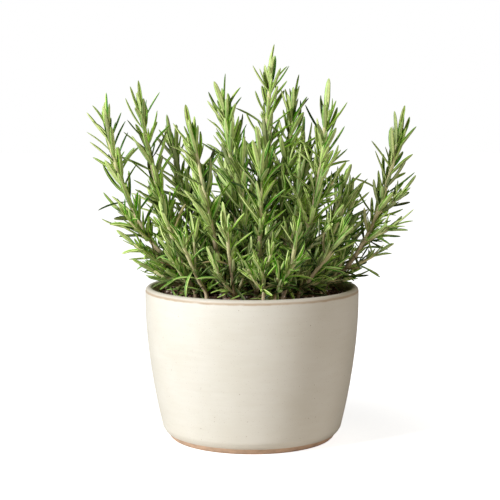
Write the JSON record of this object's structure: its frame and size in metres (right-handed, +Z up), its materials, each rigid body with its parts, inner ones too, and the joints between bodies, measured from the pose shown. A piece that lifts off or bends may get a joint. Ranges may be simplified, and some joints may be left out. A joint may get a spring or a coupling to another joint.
{
  "type": "potted rosemary plant",
  "caption": "Bushy upright rosemary growing in potting soil in a round glazed stoneware pot that stands on its flat foot.",
  "frame": {"origin": "centre of the pot's underside, on the surface that the pot stands on", "axes": "+Z up along the pot's axis; the front of the plant faces -Y, with its farthest leaning stems to -X and +X"},
  "size_m": [0.2426, 0.2006, 0.2951],
  "materials": {
    "glazed_stoneware": "cream speckled satin glaze with a thin tan line at the lip and a bare terracotta foot",
    "potting_soil": "dark brown crumbly potting mix with white perlite",
    "rosemary": "needle leaves with a satin green upper side and a pale grey-green underside, on pale green stems that turn woody tan below"
  },
  "bodies": {
    "root": {"pot": "glazed_stoneware", "soil": "potting_soil", "stem_far_left": "rosemary", "stem_left": "rosemary", "stem_left_rear": "rosemary", "stem_left_front": "rosemary", "stem_centre_left": "rosemary", "stem_tallest": "rosemary", "stem_front_centre": "rosemary", "stem_centre_right": "rosemary", "stem_right_rear": "rosemary", "stem_right": "rosemary", "stem_far_right": "rosemary", "stem_mid_right_rear": "rosemary", "stem_mid_right": "rosemary", "stem_mid_right_front": "rosemary", "young_stem_front_right": "rosemary", "young_stem_front_left": "rosemary", "young_stem_low_left": "rosemary", "young_stem_front_far_left": "rosemary", "stem_front_mid_left": "rosemary", "stem_front_mid_right": "rosemary", "stem_mid_left": "rosemary", "stem_rear_left": "rosemary", "stem_rear_centre_left": "rosemary", "stem_rear_centre": "rosemary", "stem_rear_right": "rosemary", "stem_rear_far_right": "rosemary", "stem_rear_far_left": "rosemary", "young_stem_rear_left": "rosemary", "young_stem_rear_right": "rosemary", "stem_centre": "rosemary", "stem_middle_right": "rosemary"}
  },
  "joints": []
}
